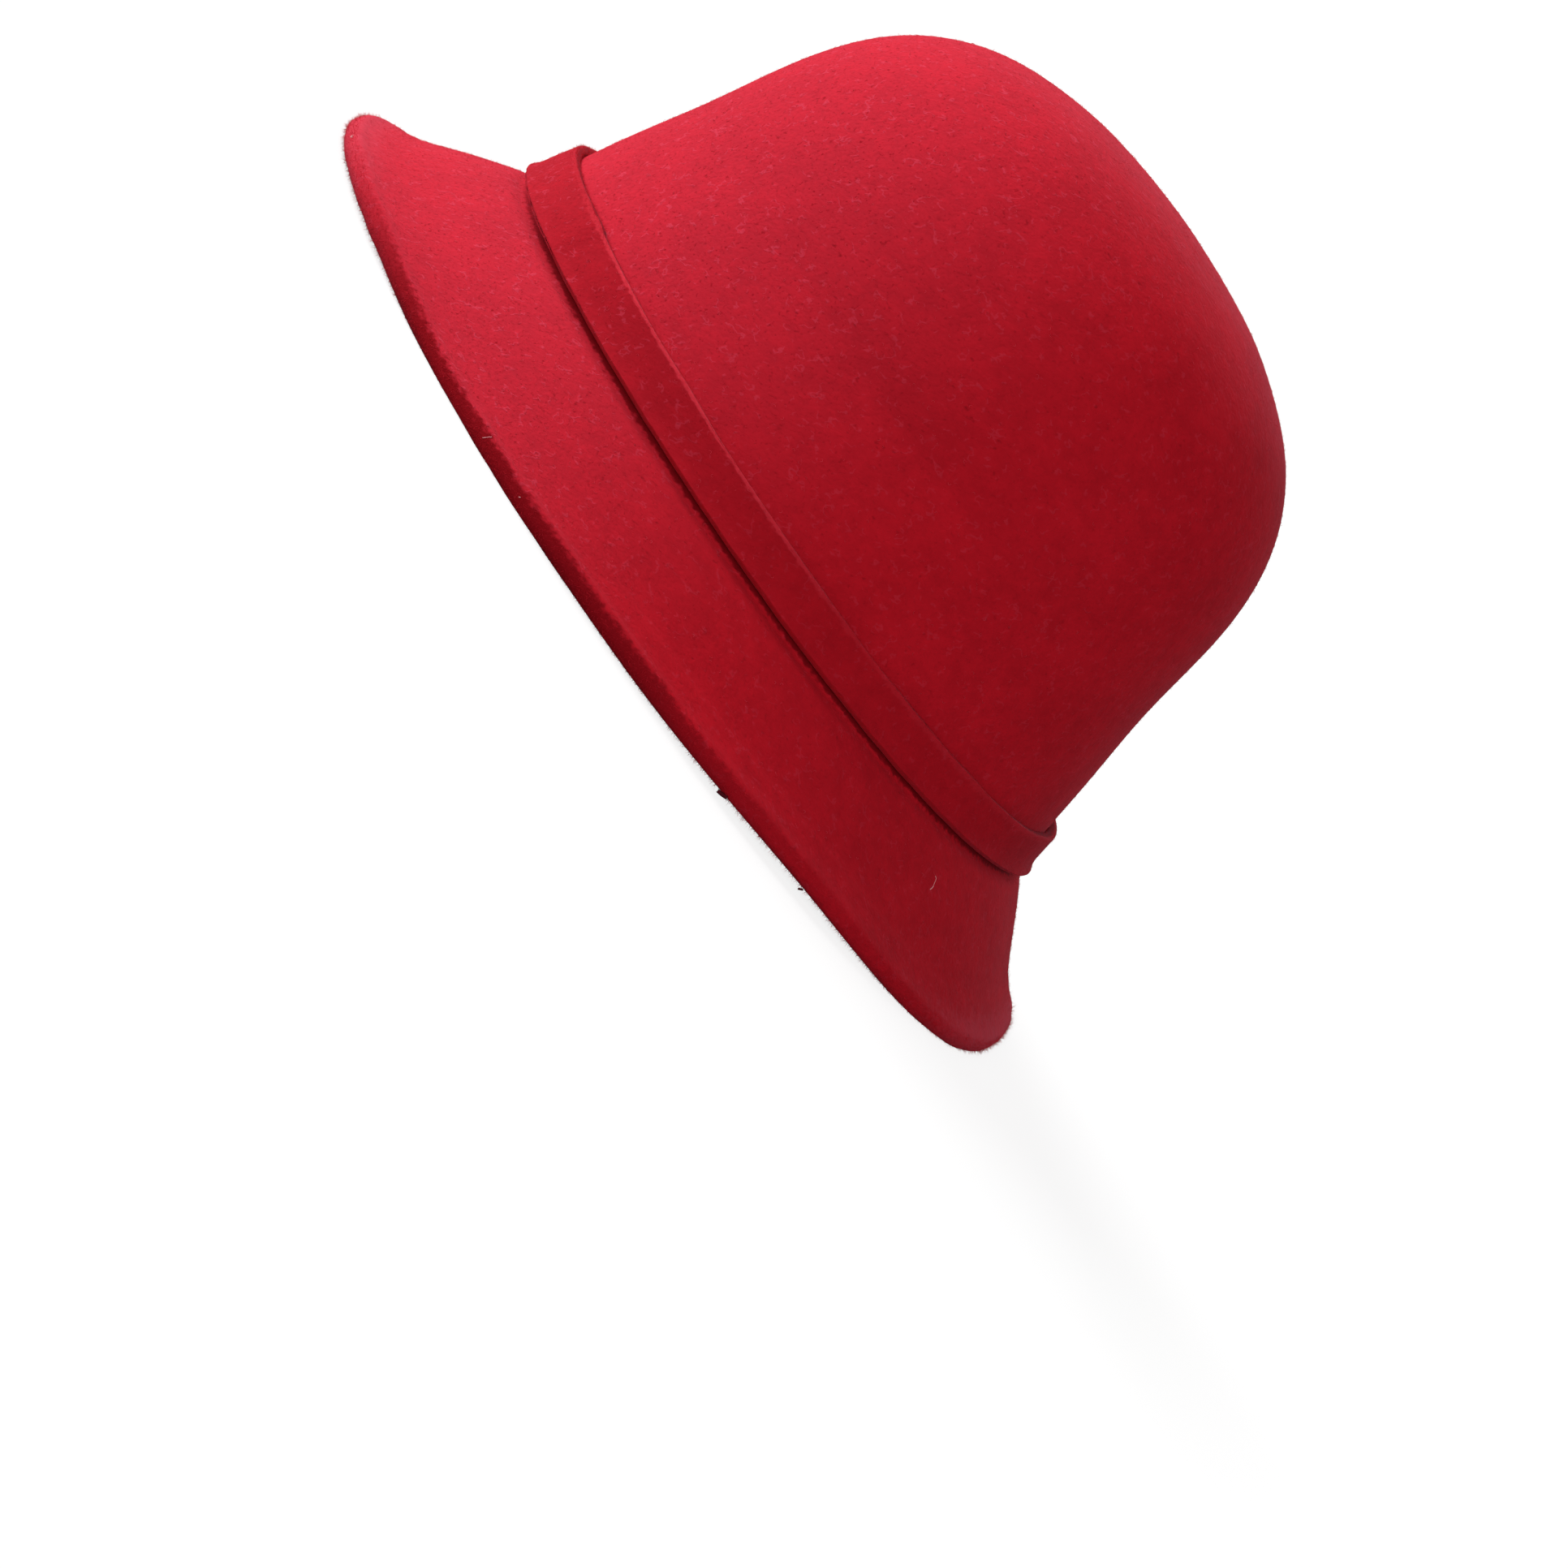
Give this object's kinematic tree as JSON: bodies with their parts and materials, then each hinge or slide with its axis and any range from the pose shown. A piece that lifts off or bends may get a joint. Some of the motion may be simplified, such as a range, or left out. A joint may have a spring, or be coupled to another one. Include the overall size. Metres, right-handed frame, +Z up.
{
  "type": "felt hat",
  "caption": "Red wool felt cloche with a domed crown, a sloping down-turned brim with a hemmed edge, and a plain felt band.",
  "frame": {"origin": "middle of the hat's length and width, on the surface that its brim stands on", "axes": "+Z up through the crown, -Y towards the front of the hat, +X towards the wearer's left"},
  "size_m": [0.2318, 0.265, 0.149],
  "materials": {
    "red_felt": "matt wool felt with a short soft nap",
    "band_felt": "matt wool felt, a little darker and smoother"
  },
  "bodies": {
    "root": {"felt_body": "red_felt", "band": "band_felt"}
  },
  "joints": []
}
